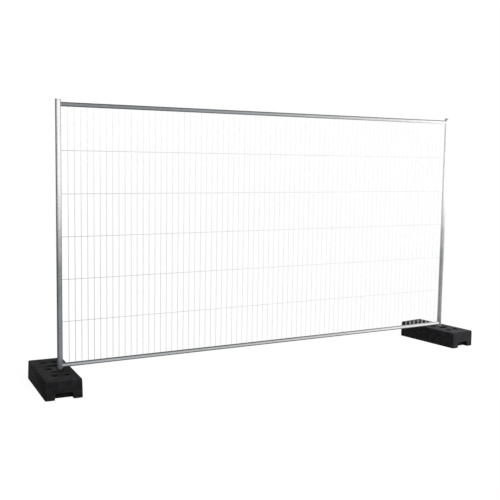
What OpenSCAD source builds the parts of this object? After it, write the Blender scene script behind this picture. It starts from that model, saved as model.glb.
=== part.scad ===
// Temporary fence panel: a welded tube frame with a wire mesh, standing in two moulded block feet.
// Millimetres, +Z up. The panel lies in the XZ plane, the feet stand on Z = 0, and the origin is
// at the centre of the whole object's footprint.

/* [Panel] */
// Width of the panel over the outsides of the uprights
panel_w = 3500; // [2400:10:3600]
// Height of the upright tops above the ground
panel_h = 1985; // [1600:5:2400]
// Outside diameter of the uprights
upright_d = 38; // [32:0.5:48]
// Wall of the uprights
upright_wall = 1.5; // [1:0.1:3]
// Outside diameter of the top and bottom rails
rail_d = 30; // [24:0.5:32]
// Wall of the rails
rail_wall = 1.5; // [1:0.1:3]
// Height of the upright tops above the top rail's axis
top_stub = 34.5; // [25:0.5:120]
// Space between the feet's tops and the underside of the bottom rail
rail_over_foot = 5.5; // [4:0.5:80]
// Leg of the weld bead round each rail end
weld_leg = 3; // [2:0.1:3.5]

/* [Mesh] */
// Diameter of the vertical wires
vertical_wire_d = 3; // [2:0.1:5]
// Spacing of the vertical wires
vertical_pitch = 45.65; // [40:0.05:120]
// Least space between an upright and the first vertical wire
edge_space_min = 30; // [10:1:60]
// Diameter of the horizontal wires
horizontal_wire_d = 3; // [2:0.1:5]
// Number of horizontal wires
row_count = 5; // [2:1:8]
// Distance from the top rail's axis to the first horizontal wire
top_row_drop = 311; // [60:0.5:400]
// Distance from the bottom rail's axis to the last horizontal wire
bottom_row_rise = 305.5; // [60:0.5:400]

/* [Feet] */
// Width of a foot at the ground
foot_w = 251; // [220:1:290]
// Length of a foot at the ground
foot_l = 616; // [520:1:760]
// Height of a foot
foot_h = 132; // [100:1:160]
// How far each side leans in from the ground to the top
foot_lean = 5.5; // [2:0.5:12]
// Radius of the rounded top edges
foot_edge_r = 9; // [4:0.5:14]
// Radius of the rounded upright corners
foot_corner_r = 14; // [8:0.5:20]
// Turn of the left foot about its upright
left_foot_turn = -2.9; // [-45:0.1:45]
// Turn of the right foot about its upright
right_foot_turn = 7.1; // [-45:0.1:45]

/* [Sockets] */
// Spacing of the two upright sockets in a row
socket_pair = 81; // [78:1:110]
// Spacing of the three socket rows along the foot
socket_row_pitch = 180; // [150:1:200]
// Radial clearance of an upright in the straight lower part of its socket
socket_clearance = 0.9; // [0.5:0.1:3]
// How far a socket flares out all round at its mouth
socket_flare = 5.5; // [2:0.5:8]
// Depth of the flared upper part of a socket
flare_depth = 50; // [20:1:70]
// Chamfer round the mouth of each slot
slot_chamfer = 3; // [0.5:0.1:5]
// Length of the slots between the socket rows, across the foot
slot_l = 86; // [60:1:110]
// Width of the slots, along the foot
slot_w = 40; // [30:1:48]
// Distance of the slots from the middle socket row
slot_y = 83; // [72:1:96]

/* [Hand grips] */
// Width of a hand grip at the ground
grip_w = 126; // [90:1:140]
// Height of a hand grip
grip_h = 44; // [30:1:50]
// Depth of a hand grip into the end of the foot
grip_depth = 48; // [30:1:60]
// How far each side of a hand grip leans in from the ground to its roof
grip_lean = 6.5; // [2:0.5:10]
// Radius of the upper corners of a hand grip
grip_corner_r = 6; // [3:0.5:10]

/* [Clearances] */
// Gap between a wire's end and the tube that it is welded to
wire_end_gap = 0.05; // [0.02:0.01:0.2]
// Gap between crossing wires
wire_cross_gap = 0.05; // [0.02:0.01:0.2]
// Gap between a rail's coped end and its upright, and round a weld bead
weld_gap = 0.05; // [0.02:0.01:0.2]

/* [Hidden] */
$fn = 64;
// Overlap of a cutting shape past the face that it cuts
cut = 1;

upright_r = upright_d / 2;
rail_r = rail_d / 2;
upright_x = panel_w / 2 - upright_r;
top_rail_z = panel_h - top_stub;
bottom_rail_z = foot_h + rail_over_foot + rail_r;
// Reach of a bead along the rail at the sides of the saddle, where it runs a little wider
weld_reach = 1.2 * weld_leg;

// Vertical wires fill the width between the uprights, centred
clear_w = 2 * (upright_x - upright_r);
wire_count = floor((clear_w - 2 * edge_space_min) / vertical_pitch) + 1;
wire_y = -(vertical_wire_d + wire_cross_gap) / 2;
wire_z0 = bottom_rail_z + rail_r + wire_end_gap;
wire_z1 = top_rail_z - rail_r - wire_end_gap;

// Horizontal wires are spread evenly between the first and the last
row_y = (horizontal_wire_d + wire_cross_gap) / 2;
row_z0 = top_rail_z - top_row_drop;
row_pitch = (row_z0 - bottom_rail_z - bottom_row_rise) / (row_count - 1);
row_half_l = upright_x - upright_r - wire_end_gap;

// The upright stands in the middle row's right-hand socket, so the foot's centre lies to its left
socket_x = socket_pair / 2;
socket_d = upright_d + 2 * socket_clearance;
// Side of the panel and turn of each foot
feet = [[-1, left_foot_turn], [1, right_foot_turn]];

// Half size of a foot's footprint along X and Y at a turn
function foot_half_x(turn) = foot_corner_r + abs(cos(turn)) * (foot_w / 2 - foot_corner_r)
    + abs(sin(turn)) * (foot_l / 2 - foot_corner_r);
function foot_half_y(turn) = foot_corner_r + abs(sin(turn)) * (foot_w / 2 - foot_corner_r)
    + abs(cos(turn)) * (foot_l / 2 - foot_corner_r);
function foot_centre(side, turn) = [side * upright_x - socket_x * cos(turn), -socket_x * sin(turn)];

// The middle of the footprint, which becomes the origin
foot_x0 = min([for (f = feet) foot_centre(f[0], f[1])[0] - foot_half_x(f[1])]);
foot_x1 = max([for (f = feet) foot_centre(f[0], f[1])[0] + foot_half_x(f[1])]);
foot_y0 = min([for (f = feet) foot_centre(f[0], f[1])[1] - foot_half_y(f[1])]);
foot_y1 = max([for (f = feet) foot_centre(f[0], f[1])[1] + foot_half_y(f[1])]);
middle = [(foot_x0 + foot_x1) / 2, (foot_y0 + foot_y1) / 2, 0];

// Two neighbouring vertical wires share a node
wires_per_node = 2;
wire_nodes = ceil(wire_count / wires_per_node);
function wire_node_name(i) = str("vertical_wires_", i < 10 ? "0" : "", i);
function row_name(i) = str("horizontal_wire_", i);

// Moves a shape from the panel's own middle to the origin
module placed() {
    translate(-middle) children();
}

// Solid upright on one side, grown by a gap
module upright_core(side, gap = 0) {
    translate([side * upright_x, 0, 0]) cylinder(r = upright_r + gap, h = panel_h);
}

// Solid rail along X from one upright's axis to the other, grown by a gap
module rail_core(z, gap = 0) {
    translate([-upright_x, 0, z]) rotate([0, 90, 0]) cylinder(r = rail_r + gap, h = 2 * upright_x);
}

// Tube with open ends, which stands on the ground inside its foot
module upright(side) {
    color("#a9adb2") placed() translate([side * upright_x, 0, 0]) difference() {
        cylinder(r = upright_r, h = panel_h);
        translate([0, 0, -cut]) cylinder(r = upright_r - upright_wall, h = panel_h + 2 * cut);
    }
}

// Tube whose ends are coped to the round of the uprights
module rail(z) {
    color("#a9adb2") placed() difference() {
        rail_core(z);
        rail_core(z, -rail_wall);
        for (side = [-1, 1]) upright_core(side, weld_gap);
    }
}

// Sloping bead round the saddle where a rail meets an upright
module weld(side, z) {
    bore_r = rail_r + weld_gap;
    color("#8d9196") placed() difference() {
        intersection() {
            translate([side * upright_x, 0, z]) rotate([0, -90 * side, 0]) rotate_extrude() polygon([
                [bore_r, 0], [bore_r + weld_leg, 0],
                [bore_r + weld_leg, upright_r], [bore_r, upright_r + weld_leg]
            ]);
            upright_core(side, weld_reach);
        }
        upright_core(side, weld_gap);
    }
}

// One horizontal wire, counted from the top
module horizontal_wire(i) {
    color("#b4b8bc") placed() translate([-row_half_l, row_y, row_z0 - (i - 1) * row_pitch])
        rotate([0, 90, 0]) cylinder(d = horizontal_wire_d, h = 2 * row_half_l);
}

// Neighbouring vertical wires of one node, counted from the left
module vertical_wires(i) {
    first = (i - 1) * wires_per_node;
    last = min(first + wires_per_node, wire_count) - 1;
    color("#b4b8bc") placed() for (k = [first : last])
        translate([(k - (wire_count - 1) / 2) * vertical_pitch, wire_y, wire_z0])
            cylinder(d = vertical_wire_d, h = wire_z1 - wire_z0);
}

// Outline with leaning sides and rounded upper corners, standing on the X axis
module leaning_outline(base, lean, height, r) {
    angle = atan(lean / height);
    round_y = height - r;
    round_x = base / 2 - lean * round_y / height - r / cos(angle);
    polygon([
        [-base / 2, 0], [base / 2, 0],
        [round_x + r * cos(angle), round_y + r * sin(angle)], [round_x, height],
        [-round_x, height], [-round_x - r * cos(angle), round_y + r * sin(angle)]
    ]);
    for (s = [-1, 1]) translate([s * round_x, round_y]) circle(r = r);
}

// Upright slab with a leaning outline, centred on the origin along Y
module leaning_slab(base, lean, height, r, depth) {
    translate([0, depth / 2, 0]) rotate([90, 0, 0]) linear_extrude(depth)
        leaning_outline(base, lean, height, r);
}

// Rectangle with rounded corners
module rounded_rectangle(w, l, r) {
    square([w - 2 * r, l], center = true);
    square([w, l - 2 * r], center = true);
    for (x = [-1, 1], y = [-1, 1]) translate([x * (w / 2 - r), y * (l / 2 - r)]) circle(r = r);
}

// Block whose four sides lean in and whose edges are rounded
module foot_block() {
    intersection() {
        leaning_slab(foot_w, foot_lean, foot_h, foot_edge_r, foot_l);
        rotate([0, 0, 90]) leaning_slab(foot_l, foot_lean, foot_h, foot_edge_r, foot_w);
        linear_extrude(foot_h) rounded_rectangle(foot_w, foot_l, foot_corner_r);
    }
}

// Round hole down through the foot, whose upper part widens by a flare all round at the mouth
module pocket(d, flare, depth) {
    mouth_h = depth + cut;
    translate([0, 0, -cut]) cylinder(d = d, h = foot_h + 2 * cut);
    translate([0, 0, foot_h - depth])
        cylinder(d1 = d, d2 = d + 2 * flare * mouth_h / depth, h = mouth_h);
}

// Straight stretch of a slot, with the same chamfer as the round holes at its ends
module slot_middle() {
    run = slot_l - slot_w;
    half_w = slot_w / 2;
    mouth_half_w = half_w + slot_chamfer + cut;
    chamfer_z = foot_h - slot_chamfer;
    top_z = foot_h + cut;
    translate([-run / 2, 0, 0]) rotate([90, 0, 90]) linear_extrude(run) polygon([
        [-half_w, -cut], [half_w, -cut], [half_w, chamfer_z],
        [mouth_half_w, top_z], [-mouth_half_w, top_z], [-half_w, chamfer_z]
    ]);
}

// Slot across the foot
module slot() {
    slot_middle();
    for (s = [-1, 1]) translate([s * (slot_l - slot_w) / 2, 0, 0])
        pocket(slot_w, slot_chamfer, slot_chamfer);
}

// Foot about its own centre, with six sockets, two slots and a hand grip under each end
module foot_shape() {
    difference() {
        foot_block();
        for (x = [-1, 1], row = [-1 : 1])
            translate([x * socket_x, row * socket_row_pitch, 0])
                pocket(socket_d, socket_flare, flare_depth);
        for (s = [-1, 1]) translate([0, s * slot_y, 0]) slot();
        for (s = [-1, 1]) translate([0, s * foot_l / 2, 0])
            leaning_slab(grip_w, grip_lean, grip_h, grip_corner_r, 2 * grip_depth);
    }
}

// Foot with its middle right-hand socket round an upright
module foot(side, turn) {
    color("#1f2022") placed() translate([side * upright_x, 0, 0]) rotate([0, 0, turn])
        translate([-socket_x, 0, 0]) foot_shape();
}

upright(-1);  // left_upright
upright(1);  // right_upright
rail(top_rail_z);  // top_rail
rail(bottom_rail_z);  // bottom_rail
weld(-1, top_rail_z);  // top_left_weld
weld(1, top_rail_z);  // top_right_weld
weld(-1, bottom_rail_z);  // bottom_left_weld
weld(1, bottom_rail_z);  // bottom_right_weld
for (i = [1 : row_count]) horizontal_wire(i);
for (i = [1 : wire_nodes]) vertical_wires(i);
foot(-1, left_foot_turn);  // left_foot
foot(1, right_foot_turn);  // right_foot
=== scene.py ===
"""Temporary fence panel: finishes, weld detail, moulded feet and a plain studio round the fixed frame.

Metres, +Z up. The panel lies along X, and its front faces -Y.
"""
import math
import random

import bmesh
import bpy
from mathutils import Matrix, Vector


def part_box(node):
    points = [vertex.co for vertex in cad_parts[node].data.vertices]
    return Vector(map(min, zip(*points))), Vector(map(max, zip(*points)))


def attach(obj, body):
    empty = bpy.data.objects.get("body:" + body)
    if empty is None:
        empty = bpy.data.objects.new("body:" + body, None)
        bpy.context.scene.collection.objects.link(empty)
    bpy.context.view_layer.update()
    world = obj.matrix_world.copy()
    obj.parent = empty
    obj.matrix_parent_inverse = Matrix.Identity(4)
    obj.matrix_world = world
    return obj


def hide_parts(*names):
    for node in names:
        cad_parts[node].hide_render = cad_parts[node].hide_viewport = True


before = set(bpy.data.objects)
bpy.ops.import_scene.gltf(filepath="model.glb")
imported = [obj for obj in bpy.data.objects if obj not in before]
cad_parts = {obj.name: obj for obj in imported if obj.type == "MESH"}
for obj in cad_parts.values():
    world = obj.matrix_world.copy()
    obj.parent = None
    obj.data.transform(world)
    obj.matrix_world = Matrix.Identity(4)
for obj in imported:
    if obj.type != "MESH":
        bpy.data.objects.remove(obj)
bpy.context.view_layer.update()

# Node groups of the frame
UPRIGHTS = ("left_upright", "right_upright")
RAILS = ("top_rail", "bottom_rail")
FEET = ("left_foot", "right_foot")
HORIZONTAL_WIRES = sorted(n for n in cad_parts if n.startswith("horizontal_wire"))
VERTICAL_WIRES = sorted(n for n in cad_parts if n.startswith("vertical_wires"))

# Camera, measured from the middle of the panel on the ground
CAMERA_OFFSET = Vector((-3.2034, -5.3741, 1.6028))
CAMERA_YAW = 28.90
CAMERA_PITCH = 5.823
CAMERA_ROLL = -0.92
SENSOR = 36.0
LENS = 57.25
SHIFT_Y = -0.02

# Weld beads: size, and how their ripples are spread round the seam
BEAD_RADIUS = 0.0024
BEAD_SEGMENTS = 160
BEAD_SIDES = 10
BEAD_RIPPLES = 26
BEAD_RIPPLE_DEPTH = 0.16
BEAD_WANDER = 0.7
BEAD_WANDER_WAVES = 3

# Weld lumps: sizes at the crossings and wire ends, and how uneven they are
NUGGET_SIZE = (0.0023, 0.0015, 0.0023)
END_WELD_WIDTH = 0.0024
END_WELD_HEIGHT = 0.0018
LUMP_STRETCH = (0.85, 1.15)
LUMP_DENT = 0.12
WELD_SEED = 7

# Small rounding of the feet's remaining sharp edges
FOOT_EDGE_RADIUS = 0.0028
FOOT_EDGE_SEGMENTS = 3
SHARP_EDGE = math.radians(28)
FLAT_ANGLE = math.radians(0.6)
SAME_POINT = 1e-6

# Ranges that many shader steps share
UNIT = (0.0, 1.0)
FALLING = (1.0, 0.0)
NOISE_SPAN = (0.3, 0.7)
NOISE_CORE = (0.35, 0.65)

# Colours: plain white and black, and the tints of welds and rubber
WHITE = (1.0, 1.0, 1.0, 1.0)
BLACK = (0.0, 0.0, 0.0, 1.0)
WELD_TINT = (0.97, 1.0, 1.04)
RUBBER_TINT = (1.0, 1.0, 1.08)

# Zinc: how cool it is where it is dullest, and the level from which it is neutral
ZINC_COOLNESS = 0.07
ZINC_NEUTRAL_LEVEL = 0.8

# Zinc: heights between which a finish changes from its lower levels to its upper ones; darker low and
# lighter high is painted light and shade
UPRIGHT_RISE = (0.72, 1.48)
MESH_RISE = (0.0, 1.95)
WHOLE_RISE = (0.1, 1.9)

# Zinc: how fine the run marks are along X, Y and Z
UPRIGHT_STREAK = (45.0, 45.0, 2.0)
RAIL_STREAK = (2.0, 45.0, 45.0)
WIRE_STREAK = (20.0, 20.0, 20.0)

# Zinc: how fine its clouds, spangle and grain are
CLOUD_SCALE = 9.0
SPANGLE_SCALE = 120.0
ZINC_GRAIN_SCALE = 520.0
ZINC_GRAIN_SHARE = 0.5

# Zinc: what clouds do to its painted light falloff, run marks to its shade, and clouds and spangle to its
# roughness
CLOUD_FALLOFF_SHIFT = (-0.10, 0.10)
RUN_SHADE = (-0.09, 0.09)
CLOUD_ROUGHNESS = (0.39, 0.51)
SPANGLE_ROUGHNESS = (-0.05, 0.05)

# Grey levels of the painted shade on the rails and of the darkening low on the uprights, and of the painted
# shade on the uprights' sides
DARKENING_LEVEL = 0.04
SIDE_SHADE_LEVEL = 0.10

# Painted shade: how far up, down or along the fence a face looks where the painted shade starts and where
# it is full
TOP_SHADE_REACH = (0.30, 0.80)
UNDER_SHADE_REACH = (0.40, 0.90)
SIDE_SHADE_REACH = (0.48, 0.88)

# Heights over which the uprights' darker base ends
DARKER_BASE_REACH = (0.14, 0.25)

# Band of painted shade on the uprights' top ends: heights above the top rail over which it starts
SHADED_END_START = (0.001, 0.006)

# How far to the right a face of the right upright looks where that band starts to fade and where it ends
SHADED_END_SIDE = (-0.45, 0.15)

# How far to the right and to the back a face of an upright looks where its side painted paler as painted
# light starts and is full
LIT_SIDE_REACH = (-0.15, 0.50)
LIT_BACK_REACH = (-0.40, 0.05)

# Weld metal: how fine its patches and grain are, its grey levels and its roughness
WELD_PATCH_SCALE = 160.0
WELD_GRAIN_SCALE = 1400.0
WELD_LEVELS = (0.26, 0.48)
WELD_ROUGHNESS = (0.48, 0.68)

# Rubber: how fine its flow marks, grain and granules are, and the shares of the last two in its relief
FLOW_SCALE = (22.0, 22.0, 34.0)
RUBBER_GRAIN_SCALE = 420.0
GRANULE_SCALE = 260.0
RUBBER_GRAIN_SHARE = 0.7
GRANULE_SHARE = 0.6

# Rubber: left and right grey levels of its dark and pale flow marks, its dusty top and its sockets'
# hollows; the right foot's lighter levels are painted light, and the hollows' dark is painted shade
FLOW_DARK_LEVELS = (0.0075, 0.0115)
FLOW_PALE_LEVELS = (0.0160, 0.0245)
TOP_DUST_AND_LIGHT_LEVELS = (0.033, 0.168)
SOCKET_SHADE_LEVELS = (0.0140, 0.0055)

# Rubber: grey levels of its specks, its dusty front with painted light, its scuffed edges with painted
# highlight and the painted shade in its grips' hollows
SPECK_LEVEL = 0.035
FRONT_DUST_AND_LIGHT_LEVEL = 0.047
SCUFF_AND_HIGHLIGHT_LEVEL = 0.065
GRIP_SHADE_LEVEL = 0.0040

# Rubber: where in the grain or flow its specks, top dust and scuffs with painted highlight lie, and how
# strong they get
SPECK_SPAN = (0.55, 0.75)
SPECK_AMOUNTS = (0.0, 0.5)
TOP_DUST_SPAN = (0.3, 0.75)
TOP_DUST_AMOUNTS = (0.3, 0.9)
SCUFF_AND_HIGHLIGHT_AMOUNTS = (0.1, 0.6)

# Rubber: left and right amount of dust and painted light on its front, the right foot's being mostly
# painted light
FRONT_DUST_AND_LIGHT_AMOUNTS = (0.06, 0.49)

# Rubber: how far up a face looks where the dusty top starts, and where the scuffed edge with its painted
# highlight starts and ends
TOP_FACE = (0.96, 1.0)
EDGE_START = (0.15, 0.35)
EDGE_END = (0.98, 0.85)

# Rubber: how far ahead a face looks where the dusty front with its painted light starts and where it is
# full
FRONT_FACE = (0.90, 0.97)

# Rubber: how near the walls of a hollow are, how open it is where its painted shade is full and where that
# ends, and the heights over which the grips' painted shade gives way to the sockets'
HOLLOW_DISTANCE = 0.12
HOLLOW_SPAN = (0.60, 0.95)
HOLLOW_HEIGHTS = (0.05, 0.08)

# Rubber: what flow and grain do to its roughness
FLOW_ROUGHNESS = (0.70, 0.84)
RUBBER_GRAIN_ROUGHNESS = (-0.06, 0.06)

# Strength of the soft light that the world and the floor give from all round
AMBIENT = 0.30

# Floor: how much light it returns along the panel, its glow there, and the distances over which that ends
FLOOR_SHADE = 0.12
FLOOR_GLOW = 0.940
FLOOR_SHADE_REACH = (0.9, 2.4)
FLOOR_HALF_SIZE = 40.0

# Area lamps: places and aims from the middle of the panel on the ground, sizes, and powers in watts
MAIN_KEY_PLACE = Vector((-1.8, -5.2, 1.6))
MAIN_KEY_AIM = Vector((-1.2, 0.0, 1.3))
MAIN_KEY_SIZE = 1.0
MAIN_KEY_POWER = 160.0
RIGHT_KEY_PLACE = Vector((2.6, -3.8, 1.8))
RIGHT_KEY_AIM = Vector((1.5, 0.0, 1.3))
RIGHT_KEY_SIZE = 1.2
RIGHT_KEY_POWER = 88.0

# Soft sun: the way its light goes, its strength, and the angle it fills in degrees
BACK_FILL_DIRECTION = Vector((-0.10, -0.92, -0.28))
BACK_FILL_STRENGTH = 0.9
BACK_FILL_ANGLE = 40.0


def box_centre(node):
    low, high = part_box(node)
    return (low + high) / 2


def box_size(node):
    low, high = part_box(node)
    return high - low


PANEL_MIDDLE = (box_centre("left_upright") + box_centre("right_upright")) / 2
PANEL_MIDDLE.z = 0.0
UPRIGHT_RADIUS = box_size("left_upright").x / 2
RAIL_RADIUS = box_size("top_rail").z / 2
WIRE_RADIUS = box_size("horizontal_wire_1").z / 2
PANEL_LEFT = box_centre("left_upright").x
PANEL_RIGHT = box_centre("right_upright").x
TOP_RAIL_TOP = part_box("top_rail")[1].z


# Node trees

class Tree:
    """Small helper that adds and links the nodes of one material or world."""

    def __init__(self, owner):
        owner.use_nodes = True
        self.tree = owner.node_tree
        self.tree.nodes.clear()

    def add(self, kind, inputs=None, **settings):
        node = self.tree.nodes.new(kind)
        for name, value in settings.items():
            setattr(node, name, value)
        for key, value in (inputs or {}).items():
            self.put(node.inputs[key], value)
        return node

    def put(self, socket, value):
        if isinstance(value, bpy.types.NodeSocket):
            self.tree.links.new(value, socket)
        else:
            socket.default_value = value

    def math(self, operation, a, b=0.0, clamp=False):
        return self.add("ShaderNodeMath", {0: a, 1: b}, operation=operation, use_clamp=clamp).outputs[0]

    def remap(self, value, old, new, smooth=False):
        kind = "SMOOTHSTEP" if smooth else "LINEAR"
        inputs = {"Value": value, "From Min": old[0], "From Max": old[1],
                  "To Min": new[0], "To Max": new[1]}
        return self.add("ShaderNodeMapRange", inputs, interpolation_type=kind).outputs["Result"]

    def blend(self, factor, a, b, mode="MIX"):
        node = self.add("ShaderNodeMix", data_type="RGBA", blend_type=mode)
        self.put(node.inputs["Factor"], factor)
        self.put(node.inputs["A"], a)
        self.put(node.inputs["B"], b)
        return node.outputs["Result"]

    def noise(self, coords, scale, detail=3.0, roughness=0.55):
        inputs = {"Vector": coords, "Scale": scale, "Detail": detail, "Roughness": roughness}
        return self.add("ShaderNodeTexNoise", inputs).outputs["Fac"]

    def voronoi(self, coords, scale):
        return self.add("ShaderNodeTexVoronoi", {"Vector": coords, "Scale": scale}).outputs

    def stretched(self, coords, scale):
        return self.add("ShaderNodeMapping", {"Vector": coords, "Scale": scale}).outputs["Vector"]

    def object_coords(self):
        return self.add("ShaderNodeTexCoord").outputs["Object"]

    def parts(self, vector):
        """The X, Y and Z of a vector."""
        return self.add("ShaderNodeSeparateXYZ", {0: vector}).outputs

    def facing(self):
        """The X, Y and Z of the way a face looks."""
        return self.parts(self.add("ShaderNodeNewGeometry").outputs["Normal"])

    def across(self, x):
        """0 at the left upright, 1 at the right one."""
        return self.remap(x, (PANEL_LEFT, PANEL_RIGHT), UNIT)

    def bump(self, height, strength, distance, normal=None):
        inputs = {"Height": height, "Strength": strength, "Distance": distance}
        if normal is not None:
            inputs["Normal"] = normal
        return self.add("ShaderNodeBump", inputs).outputs["Normal"]

    def surface(self, shader):
        self.add("ShaderNodeOutputMaterial", {"Surface": shader})


def grey(level, tint):
    return (level * tint[0], level * tint[1], level * tint[2], 1.0)


def weld_grey(level):
    return grey(level, WELD_TINT)


def zinc_grey(level):
    """Zinc's grey: cool where it is dull, neutral where it is bright."""
    cool = ZINC_COOLNESS * max(0.0, 1.0 - level / ZINC_NEUTRAL_LEVEL)
    return grey(level, (1.0 - cool, 1.0, 1.0 + cool))


def rubber_grey(level):
    return grey(level, RUBBER_TINT)


def between(t, factor, levels, tone):
    """Colour between two grey levels: the first where factor is 0, the second where it is 1."""
    return t.blend(factor, tone(levels[0]), tone(levels[1]))


# Materials

def zinc(name, streak, lower, upper=None, rise=WHOLE_RISE, fade=1.0, bend=1.0, tilt=0.0, spangle=0.10,
         top_shade=None, under_shade=None, under_reach=UNDER_SHADE_REACH, side_shade=None,
         shaded_end=None, darker_base=None, lit_side=None):
    """Galvanised steel with spangle, clouds and run marks.

    lower and upper are the left and right grey levels below and above the heights in rise, and
    are the same where upper is not given; their darker left and lower and lighter right and upper
    levels are painted light and shade. fade and bend curve the change from left to right and
    from low to high, and tilt is how much lower the change in rise sits at the right end. streak
    is how fine the run marks are, and spangle is the depth of the spangle's shade.

    top_shade, under_shade and side_shade are the left and right amounts of painted shade on
    faces that look up, down and along the fence, and under_reach is how far down a face looks
    where that painted shade starts and where it is full. shaded_end holds the left and right
    level of the band of painted shade above the top rail, darker_base is the left and right
    amount of darkening close to the feet, and lit_side is how much paler, as painted light, the
    faces are that look right or back, at the left and the right.
    """
    material = bpy.data.materials.new(name)
    t = Tree(material)
    coords = t.object_coords()
    place = t.parts(coords)
    facing = t.facing()
    clouds = t.noise(coords, CLOUD_SCALE, detail=4.0)
    runs = t.noise(t.stretched(coords, streak), 1.0, detail=3.0)
    cell = t.add("ShaderNodeSeparateColor", {0: t.voronoi(coords, SPANGLE_SCALE)["Color"]}).outputs[0]

    # Painted light and shade: darker to the left and lower down, lighter to the right and higher up, as
    # light from the right and above falls
    across = t.math("POWER", t.across(place["X"]), fade)
    height = t.math("ADD", place["Z"], t.math("MULTIPLY", across, tilt))
    painted_falloff = t.math("POWER", t.remap(height, rise, UNIT, smooth=bend == 1.0), bend)
    painted_falloff = t.math("ADD", painted_falloff, t.remap(clouds, NOISE_SPAN, CLOUD_FALLOFF_SHIFT), clamp=True)
    # Painted light: faces of the right upright that look right or back are painted paler, as light from
    # there would make them
    if lit_side:
        looks_right = t.remap(facing["X"], LIT_SIDE_REACH, UNIT)
        looks_back = t.remap(facing["Y"], LIT_BACK_REACH, UNIT)
        turned = t.math("MAXIMUM", looks_right, looks_back)
        painted_light = t.math("MULTIPLY", turned, t.remap(across, UNIT, lit_side))
        painted_falloff = t.math("ADD", painted_falloff, painted_light, clamp=True)
    low_colour = between(t, across, lower, zinc_grey)
    high_colour = between(t, across, upper or lower, zinc_grey)
    colour = t.blend(painted_falloff, low_colour, high_colour)

    # Painted shade: a darker band on the uprights' ends above the top rail, left off the right upright's
    # faces that look right, toward the light
    if shaded_end:
        start, full = SHADED_END_START
        band = t.remap(place["Z"], (TOP_RAIL_TOP + start, TOP_RAIL_TOP + full), UNIT)
        lit_face = t.math("MULTIPLY", across, t.remap(facing["X"], SHADED_END_SIDE, UNIT))
        band = t.math("SUBTRACT", band, lit_face, clamp=True)
        colour = t.blend(band, colour, between(t, across, shaded_end, zinc_grey))
    # Darker close to the feet
    if darker_base:
        near_ground = t.remap(place["Z"], DARKER_BASE_REACH, FALLING, smooth=True)
        darkened = t.math("MULTIPLY", near_ground, t.remap(across, UNIT, darker_base))
        colour = t.blend(darkened, colour, zinc_grey(DARKENING_LEVEL))
    # Painted shade: faces that look up, down or along the fence are painted darker, as the edges of a tube
    # turned from the light would be
    looks_down = t.math("MULTIPLY", facing["Z"], -1.0)
    looks_along = t.math("ABSOLUTE", facing["X"])
    for amounts, look, reach, level in ((top_shade, facing["Z"], TOP_SHADE_REACH, DARKENING_LEVEL),
                                        (under_shade, looks_down, under_reach, DARKENING_LEVEL),
                                        (side_shade, looks_along, SIDE_SHADE_REACH, SIDE_SHADE_LEVEL)):
        if amounts:
            turned = t.remap(look, reach, UNIT)
            darkened = t.math("MULTIPLY", turned, t.remap(across, UNIT, amounts))
            colour = t.blend(darkened, colour, zinc_grey(level))

    shade = t.math("ADD", t.remap(cell, UNIT, (1.0 - spangle, 1.0 + spangle)),
                   t.remap(runs, NOISE_SPAN, RUN_SHADE))
    shades = t.add("ShaderNodeCombineColor", {0: shade, 1: shade, 2: shade}).outputs[0]
    colour = t.blend(1.0, colour, shades, mode="MULTIPLY")
    rough = t.math("ADD", t.remap(clouds, NOISE_SPAN, CLOUD_ROUGHNESS),
                   t.remap(cell, UNIT, SPANGLE_ROUGHNESS))
    grain = t.noise(coords, ZINC_GRAIN_SCALE, detail=2.0)
    relief = t.math("ADD", t.math("MULTIPLY", grain, ZINC_GRAIN_SHARE), cell)
    shader = t.add("ShaderNodeBsdfPrincipled", {
        "Base Color": colour, "Metallic": 0.06, "Roughness": rough, "Specular IOR Level": 0.10,
        "Normal": t.bump(relief, strength=0.10, distance=0.0006)})
    t.surface(shader.outputs[0])
    return material


def weld_metal(name):
    """Rough zinc over a weld, in darker and paler patches."""
    material = bpy.data.materials.new(name)
    t = Tree(material)
    coords = t.object_coords()
    patches = t.noise(coords, WELD_PATCH_SCALE, detail=4.0)
    grain = t.noise(coords, WELD_GRAIN_SCALE, detail=2.0)
    colour = between(t, t.remap(patches, NOISE_CORE, UNIT), WELD_LEVELS, weld_grey)
    rough = t.remap(grain, NOISE_SPAN, WELD_ROUGHNESS)
    shader = t.add("ShaderNodeBsdfPrincipled", {
        "Base Color": colour, "Metallic": 0.35, "Roughness": rough, "Specular IOR Level": 0.35,
        "Normal": t.bump(grain, strength=0.25, distance=0.0004)})
    t.surface(shader.outputs[0])
    return material


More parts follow.
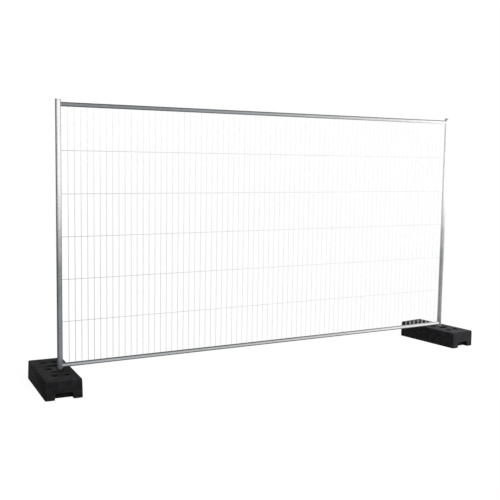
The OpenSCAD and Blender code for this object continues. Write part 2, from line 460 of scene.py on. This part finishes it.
def moulded_rubber(name):
    """Black recycled rubber: granules, flow marks, dust on the top and front, paler scuffed edges; painted
    light makes the right foot, its top and its front lighter, the edges carry a painted highlight and the
    hollows painted shade.
    """
    material = bpy.data.materials.new(name)
    t = Tree(material)
    coords = t.object_coords()
    place = t.parts(coords)
    looks_up = t.facing()["Z"]
    own_normal = t.add("ShaderNodeTexCoord").outputs["Normal"]
    looks_ahead = t.math("MULTIPLY", t.parts(own_normal)["Y"], -1.0)
    flow = t.noise(t.stretched(coords, FLOW_SCALE), 1.0, detail=4.0, roughness=0.6)
    grain = t.noise(coords, RUBBER_GRAIN_SCALE, detail=3.0, roughness=0.65)
    granule = t.voronoi(coords, GRANULE_SCALE)["Distance"]

    # Painted light: the right foot is painted lighter than the left, as light from the right would make it
    across = t.across(place["X"])
    dark = between(t, across, FLOW_DARK_LEVELS, rubber_grey)
    pale = between(t, across, FLOW_PALE_LEVELS, rubber_grey)
    colour = t.blend(t.remap(flow, NOISE_CORE, UNIT), dark, pale)
    speck = t.remap(grain, SPECK_SPAN, SPECK_AMOUNTS)
    colour = t.blend(speck, colour, rubber_grey(SPECK_LEVEL))

    # Dust on the top faces; its much lighter level on the right foot is painted light
    settled = t.remap(flow, TOP_DUST_SPAN, TOP_DUST_AMOUNTS)
    top_dust = t.math("MULTIPLY", t.remap(looks_up, TOP_FACE, UNIT), settled)
    colour = t.blend(top_dust, colour, between(t, across, TOP_DUST_AND_LIGHT_LEVELS, rubber_grey))
    # Dust and painted light on faces that look ahead: the right foot's front end is painted much lighter,
    # as light from the right front would make it
    front_dust_and_light = t.math("MULTIPLY", t.remap(looks_ahead, FRONT_FACE, UNIT),
                        t.remap(across, UNIT, FRONT_DUST_AND_LIGHT_AMOUNTS))
    colour = t.blend(front_dust_and_light, colour, rubber_grey(FRONT_DUST_AND_LIGHT_LEVEL))
    # Scuffs and painted highlight: paler on edges that look partly up, where light catches the rounding
    edge = t.math("MULTIPLY", t.remap(looks_up, EDGE_START, UNIT), t.remap(looks_up, EDGE_END, UNIT))
    scuff_and_highlight = t.math("MULTIPLY", edge, t.remap(grain, NOISE_CORE, SCUFF_AND_HIGHLIGHT_AMOUNTS), clamp=True)
    colour = t.blend(scuff_and_highlight, colour, rubber_grey(SCUFF_AND_HIGHLIGHT_LEVEL))

    # Painted shade: hollows such as the grips and sockets are painted darker where their walls close in
    occlusion = t.add("ShaderNodeAmbientOcclusion", {"Distance": HOLLOW_DISTANCE},
                      samples=8, only_local=True)
    closed_in = t.remap(occlusion.outputs["AO"], HOLLOW_SPAN, FALLING)
    socket_shade = between(t, across, SOCKET_SHADE_LEVELS, rubber_grey)
    upper = t.remap(place["Z"], HOLLOW_HEIGHTS, UNIT)
    hollow = t.blend(upper, rubber_grey(GRIP_SHADE_LEVEL), socket_shade)
    colour = t.blend(closed_in, colour, hollow)

    rough = t.math("ADD", t.remap(flow, NOISE_SPAN, FLOW_ROUGHNESS),
                   t.remap(grain, NOISE_SPAN, RUBBER_GRAIN_ROUGHNESS))
    relief = t.math("ADD", t.math("MULTIPLY", grain, RUBBER_GRAIN_SHARE),
                    t.math("MULTIPLY", granule, GRANULE_SHARE))
    fine = t.bump(relief, strength=0.35, distance=0.0012)
    shader = t.add("ShaderNodeBsdfPrincipled", {
        "Base Color": colour, "Roughness": rough, "Specular IOR Level": 0.011,
        "Normal": t.bump(flow, strength=0.25, distance=0.006, normal=fine)})
    t.surface(shader.outputs[0])
    return material


def finish_nodes(names, material):
    for name in names:
        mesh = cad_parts[name].data
        mesh.materials.clear()
        mesh.materials.append(material)


# Pieces

def add_piece(name, build, body, material):
    """Makes a piece from a function that fills a bmesh, and lets it ride on a body."""
    mesh = bpy.data.meshes.new(name)
    bm = bmesh.new()
    build(bm)
    bmesh.ops.recalc_face_normals(bm, faces=bm.faces)
    bm.to_mesh(mesh)
    bm.free()
    for polygon in mesh.polygons:
        polygon.use_smooth = True
    mesh.materials.append(material)
    piece = bpy.data.objects.new(name, mesh)
    bpy.context.scene.collection.objects.link(piece)
    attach(piece, body)
    return piece


def saddle_bead(bm, corner, inward):
    """Rippled bead round the seam where a rail ends on an upright.

    corner is where the two axes meet, and inward is the rail's direction along X.
    """
    rings = []
    for i in range(BEAD_SEGMENTS):
        angle = 2 * math.pi * i / BEAD_SEGMENTS
        y, z = RAIL_RADIUS * math.cos(angle), RAIL_RADIUS * math.sin(angle)
        reach = math.sqrt(UPRIGHT_RADIUS ** 2 - y ** 2)
        seam = corner + Vector((inward * reach, y, z))
        out_rail = Vector((0.0, math.cos(angle), math.sin(angle)))
        out_upright = Vector((inward * reach, y, 0.0)) / UPRIGHT_RADIUS
        wander = BEAD_WANDER * math.sin(BEAD_WANDER_WAVES * angle)
        ripple = abs(math.sin(BEAD_RIPPLES * angle / 2 + wander))
        radius = BEAD_RADIUS * (1 - BEAD_RIPPLE_DEPTH + BEAD_RIPPLE_DEPTH * ripple)
        ring = []
        for k in range(BEAD_SIDES):
            turn = 2 * math.pi * k / BEAD_SIDES
            out = math.cos(turn) * out_rail + math.sin(turn) * out_upright
            ring.append(bm.verts.new(seam + radius * out))
        rings.append(ring)
    for i, ring in enumerate(rings):
        following = rings[(i + 1) % BEAD_SEGMENTS]
        for k in range(BEAD_SIDES):
            n = (k + 1) % BEAD_SIDES
            bm.faces.new((ring[k], ring[n], following[n], following[k]))


def lump(bm, place, size, rng):
    """Small uneven lump of weld metal."""
    scale = Matrix.Diagonal([s * rng.uniform(*LUMP_STRETCH) for s in size] + [1.0])
    turn = Matrix.Rotation(rng.uniform(0, math.pi), 4, "Y")
    pose = Matrix.Translation(place) @ scale @ turn
    made = bmesh.ops.create_icosphere(bm, subdivisions=1, radius=1.0, matrix=pose)
    for vert in made["verts"]:
        vert.co += (vert.co - place) * rng.uniform(-LUMP_DENT, LUMP_DENT)


def wire_columns():
    """X of each vertical wire, two to a node."""
    xs = []
    for name in VERTICAL_WIRES:
        low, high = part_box(name)
        xs += [low.x + WIRE_RADIUS, high.x - WIRE_RADIUS]
    return xs


def crossing_welds(bm):
    """A lump of weld metal where each vertical wire crosses a horizontal one."""
    rng = random.Random(WELD_SEED)
    contact_y = (box_centre(VERTICAL_WIRES[0]).y + box_centre(HORIZONTAL_WIRES[0]).y) / 2
    for row in HORIZONTAL_WIRES:
        for x in wire_columns():
            lump(bm, Vector((x, contact_y, box_centre(row).z)), NUGGET_SIZE, rng)


def wire_end_welds(bm):
    """A lump of weld metal at both ends of each wire."""
    rng = random.Random(WELD_SEED + 1)
    low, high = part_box(VERTICAL_WIRES[0])
    upright_end = (END_WELD_WIDTH, END_WELD_WIDTH, END_WELD_HEIGHT)
    for x in wire_columns():
        for z in (low.z, high.z):
            lump(bm, Vector((x, (low.y + high.y) / 2, z)), upright_end, rng)
    side_end = (END_WELD_HEIGHT, END_WELD_WIDTH, END_WELD_WIDTH)
    for name in HORIZONTAL_WIRES:
        low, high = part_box(name)
        for x in (low.x, high.x):
            lump(bm, Vector((x, (low.y + high.y) / 2, (low.z + high.z) / 2)), side_end, rng)


def moulded_foot(bm, node):
    """The foot's solid with its last sharp edges rounded, as a mould leaves them."""
    bm.from_mesh(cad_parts[node].data)
    bmesh.ops.remove_doubles(bm, verts=bm.verts, dist=SAME_POINT)
    bmesh.ops.dissolve_limit(bm, angle_limit=FLAT_ANGLE, verts=bm.verts, edges=bm.edges)
    sharp = [e for e in bm.edges if len(e.link_faces) == 2 and e.calc_face_angle() > SHARP_EDGE]
    bmesh.ops.bevel(bm, geom=sharp, offset=FOOT_EDGE_RADIUS, offset_type="OFFSET", affect="EDGES",
                    segments=FOOT_EDGE_SEGMENTS, profile=0.5, clamp_overlap=True)


# Studio

def area_light(name, offset, aim, size, power):
    """Square lamp; offset and aim are measured from the middle of the panel on the ground."""
    lamp = bpy.data.lights.new(name, "AREA")
    lamp.shape = "SQUARE"
    lamp.size = size
    lamp.energy = power
    light = bpy.data.objects.new(name, lamp)
    place = PANEL_MIDDLE + offset
    target = PANEL_MIDDLE + aim
    light.location = place
    light.rotation_euler = (target - place).to_track_quat("-Z", "Y").to_euler()
    light.visible_camera = False
    bpy.context.scene.collection.objects.link(light)


def sun_light(name, direction, strength, angle):
    lamp = bpy.data.lights.new(name, "SUN")
    lamp.energy = strength
    lamp.angle = math.radians(angle)
    light = bpy.data.objects.new(name, lamp)
    light.rotation_euler = direction.to_track_quat("-Z", "Y").to_euler()
    bpy.context.scene.collection.objects.link(light)


def seen_directly(t):
    """1 for the rays that show the background: the camera's, and those off metal or through glass."""
    path = t.add("ShaderNodeLightPath").outputs
    seen = t.math("MAXIMUM", path["Is Camera Ray"], path["Is Glossy Ray"])
    return t.math("MAXIMUM", seen, path["Is Transmission Ray"])


def white_world():
    """World that shows white and gives only the soft light from all round."""
    world = bpy.data.worlds.new("studio")
    bpy.context.scene.world = world
    t = Tree(world)
    strength = t.remap(seen_directly(t), UNIT, (AMBIENT, 1.0))
    background = t.add("ShaderNodeBackground", {"Color": WHITE, "Strength": strength})
    t.add("ShaderNodeOutputWorld", {"Surface": background.outputs[0]})


def pale_floor(half_size):
    """Level white floor: it shows white by its own glow, and takes the object's shadow along the panel."""
    material = bpy.data.materials.new("pale_floor")
    t = Tree(material)
    place = t.parts(t.object_coords())
    near = t.remap(t.math("ABSOLUTE", place["Y"]), FLOOR_SHADE_REACH, FALLING, smooth=True)
    shade = t.blend(near, BLACK, (FLOOR_SHADE, FLOOR_SHADE, FLOOR_SHADE, 1.0))
    matt = t.add("ShaderNodeBsdfDiffuse", {"Color": shade})
    shown = t.math("MULTIPLY", seen_directly(t), t.remap(near, UNIT, (1.0, FLOOR_GLOW)))
    strength = t.math("MAXIMUM", shown, AMBIENT)
    light = t.add("ShaderNodeEmission", {"Color": WHITE, "Strength": strength})
    t.surface(t.add("ShaderNodeAddShader", {0: matt.outputs[0], 1: light.outputs[0]}).outputs[0])
    mesh = bpy.data.meshes.new("floor")
    signs = ((-1, -1), (1, -1), (1, 1), (-1, 1))
    corners = [(x * half_size, y * half_size, 0) for x, y in signs]
    mesh.from_pydata(corners, [], [(0, 1, 2, 3)])
    mesh.materials.append(material)
    floor = bpy.data.objects.new("floor", mesh)
    bpy.context.scene.collection.objects.link(floor)


def photo_camera():
    """The photo's camera, from the fitted place, angles and lens."""
    yaw, pitch, roll = (math.radians(a) for a in (CAMERA_YAW, CAMERA_PITCH, CAMERA_ROLL))
    ahead = Vector((math.sin(yaw) * math.cos(pitch), math.cos(yaw) * math.cos(pitch), -math.sin(pitch)))
    level_right = Vector((math.cos(yaw), -math.sin(yaw), 0.0))
    level_down = ahead.cross(level_right)
    right = math.cos(roll) * level_right + math.sin(roll) * level_down
    down = -math.sin(roll) * level_right + math.cos(roll) * level_down
    data = bpy.data.cameras.new("photo_camera")
    data.sensor_width = SENSOR
    data.lens = LENS
    data.shift_y = SHIFT_Y
    camera = bpy.data.objects.new("photo_camera", data)
    turn = Matrix((right, -down, -ahead)).transposed().to_4x4()
    camera.matrix_world = Matrix.Translation(PANEL_MIDDLE + CAMERA_OFFSET) @ turn
    bpy.context.scene.collection.objects.link(camera)
    bpy.context.scene.camera = camera


# Making

# Zinc levels darker to the left and lower down and lighter to the right and higher up are painted light and
# shade
upright_zinc = zinc("upright_zinc", UPRIGHT_STREAK, lower=(0.22, 0.25), upper=(0.83, 0.95),
                    rise=UPRIGHT_RISE, tilt=0.02, side_shade=(0.85, 0.0), shaded_end=(0.72, 0.37),
                    darker_base=(0.52, 0.35), lit_side=(0.0, 0.60))
top_zinc = zinc("top_rail_zinc", RAIL_STREAK, lower=(0.22, 0.92), fade=2.5,
                top_shade=(1.0, 0.95), under_shade=(0.85, 0.0))
bottom_zinc = zinc("bottom_rail_zinc", RAIL_STREAK, lower=(0.43, 0.92), fade=2.5,
                   top_shade=(0.9, 0.4), under_shade=(0.95, 0.95), under_reach=(0.05, 0.65))
vertical_zinc = zinc("vertical_wire_zinc", WIRE_STREAK, lower=(0.06, 0.96), upper=(0.95, 0.98),
                     rise=MESH_RISE, fade=0.43, bend=2.6, spangle=0.05)
horizontal_zinc = zinc("horizontal_wire_zinc", WIRE_STREAK, lower=(0.24, 0.78), fade=0.42, spangle=0.05)
weld_zinc = weld_metal("weld_zinc")
foot_rubber = moulded_rubber("foot_rubber")

finish_nodes(UPRIGHTS, upright_zinc)
finish_nodes(["top_rail"], top_zinc)
finish_nodes(["bottom_rail"], bottom_zinc)
finish_nodes(HORIZONTAL_WIRES, horizontal_zinc)
finish_nodes(VERTICAL_WIRES, vertical_zinc)

for rail in RAILS:
    level = rail.split("_")[0]
    for upright in UPRIGHTS:
        side = upright.split("_")[0]
        node = f"{level}_{side}_weld"
        corner = box_centre(upright)
        corner.z = box_centre(rail).z
        inward = 1.0 if side == "left" else -1.0
        bead = add_piece(f"{level}_{side}_bead", lambda bm: saddle_bead(bm, corner, inward),
                         "panel", weld_zinc)
        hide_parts(node)
        finish_nodes([node], weld_zinc)

add_piece("crossing_welds", crossing_welds, "panel", weld_zinc)
add_piece("wire_end_welds", wire_end_welds, "panel", weld_zinc)

for foot in FEET:
    finish_nodes([foot], foot_rubber)
    moulding = add_piece(f"{foot}_moulding", lambda bm: moulded_foot(bm, foot),
                         foot, foot_rubber)
    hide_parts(foot)

photo_camera()
white_world()
pale_floor(FLOOR_HALF_SIZE)
area_light("main_key", MAIN_KEY_PLACE, MAIN_KEY_AIM, MAIN_KEY_SIZE, MAIN_KEY_POWER)
area_light("right_key", RIGHT_KEY_PLACE, RIGHT_KEY_AIM, RIGHT_KEY_SIZE, RIGHT_KEY_POWER)
sun_light("back_fill", BACK_FILL_DIRECTION, BACK_FILL_STRENGTH, BACK_FILL_ANGLE)

bpy.context.scene.view_settings.view_transform = "Standard"
